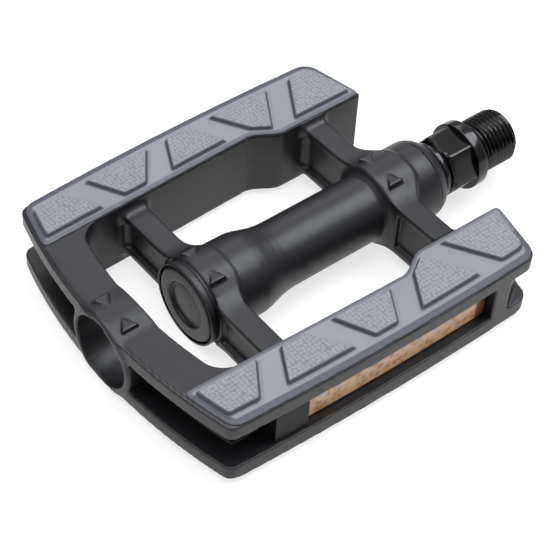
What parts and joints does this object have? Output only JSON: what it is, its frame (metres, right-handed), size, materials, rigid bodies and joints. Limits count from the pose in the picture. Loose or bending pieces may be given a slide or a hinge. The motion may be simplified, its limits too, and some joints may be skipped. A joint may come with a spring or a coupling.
{
  "type": "flat pedal",
  "caption": "Double-sided flat bicycle pedal: moulded cage on a bearing barrel, textured tread pads, side reflectors and a threaded spindle.",
  "frame": {"origin": "centre of the spindle's crank shoulder, where the thread starts", "axes": "+X along the spindle towards the crank, +Y towards the front rail, +Z out of the upper tread"},
  "size_m": [0.1234, 0.0852, 0.0212],
  "materials": {
    "body_plastic": "moulded charcoal glass-filled nylon, fine satin grain",
    "pad_elastomer": "light grey moulded elastomer, smooth channels and stippled blocks",
    "carrier_plastic": "moulded black plastic",
    "amber_lens": "amber prismatic reflector plastic",
    "cap_plastic": "moulded charcoal plastic, turned rings",
    "seal_rubber": "black nitrile rubber",
    "race_steel": "ground hardened steel",
    "ball_steel": "polished bearing steel",
    "spindle_black": "glossy black coated steel",
    "plated_steel": "zinc plated steel"
  },
  "bodies": {
    "spindle_set": {"spindle": "spindle_black", "outboard_cone": "race_steel", "lock_washer": "plated_steel", "lock_nut": "plated_steel"},
    "cage": {"pedal_body": "body_plastic", "top_front_pad": "pad_elastomer", "top_rear_pad": "pad_elastomer", "bottom_front_pad": "pad_elastomer", "bottom_rear_pad": "pad_elastomer", "front_reflector_base": "carrier_plastic", "rear_reflector_base": "carrier_plastic", "front_reflector_lens": "amber_lens", "rear_reflector_lens": "amber_lens", "dust_cap": "cap_plastic", "nose_ring": "body_plastic", "dust_seal": "seal_rubber", "inboard_cup": "race_steel", "outboard_cup": "race_steel"},
    "inboard_ball_set": {"inboard_balls": "ball_steel"},
    "outboard_ball_set": {"outboard_balls": "ball_steel"}
  },
  "joints": [
    {"name": "pedal_spin", "type": "hinge", "parent": "spindle_set", "child": "cage", "pos_m": [0, 0, 0], "axis": [1, 0, 0], "continuous": true},
    {"name": "inboard_ball_orbit", "type": "hinge", "parent": "spindle_set", "child": "inboard_ball_set", "pos_m": [-0.023, 0, 0], "axis": [1, 0, 0], "continuous": true},
    {"name": "outboard_ball_orbit", "type": "hinge", "parent": "spindle_set", "child": "outboard_ball_set", "pos_m": [-0.076, 0, 0], "axis": [1, 0, 0], "continuous": true}
  ],
  "couplings": [
    {"joint": "inboard_ball_orbit", "follows": "pedal_spin", "ratio": 0.6225},
    {"joint": "outboard_ball_orbit", "follows": "pedal_spin", "ratio": 0.6225}
  ]
}
